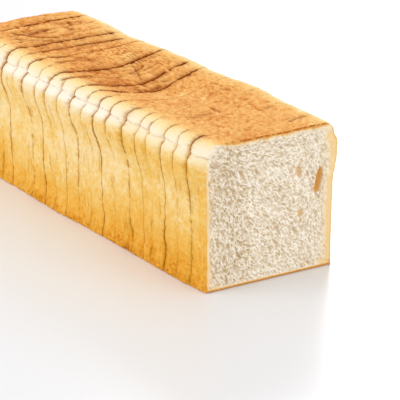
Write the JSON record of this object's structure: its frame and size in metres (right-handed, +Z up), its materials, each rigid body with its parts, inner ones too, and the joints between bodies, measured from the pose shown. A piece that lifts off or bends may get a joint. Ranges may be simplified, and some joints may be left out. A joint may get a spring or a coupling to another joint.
{
  "type": "tin loaf",
  "caption": "Long square sandwich loaf baked in a lidded tin, cut into slices that still stand together, with an open crumb face at one end and a baked heel at the other.",
  "frame": {"origin": "under the middle of the loaf's box, on the surface that the loaf stands on", "axes": "+Z up, +Y along the loaf from the open crumb face to the baked heel, +X to the right as seen from in front of the crumb face"},
  "size_m": [0.1112, 0.3294, 0.1031],
  "materials": {
    "crust": "golden baked crust, dry and slightly silky, browner over the top and along the foot, pale cream on the shoulders",
    "crumb": "soft white bread crumb with open pores, fully matte"
  },
  "bodies": {
    "root": {"slice_01": "crumb", "slice_02": "crust", "slice_03": "crust", "slice_04": "crust", "slice_05": "crust", "slice_06": "crust", "slice_07": "crust", "slice_08": "crust", "slice_09": "crust", "slice_10": "crust", "slice_11": "crust", "slice_12": "crust", "slice_13": "crust", "slice_14": "crust", "slice_15": "crust", "slice_16": "crust", "slice_17": "crust", "slice_18": "crust", "slice_19": "crust", "slice_20": "crust"}
  },
  "joints": []
}
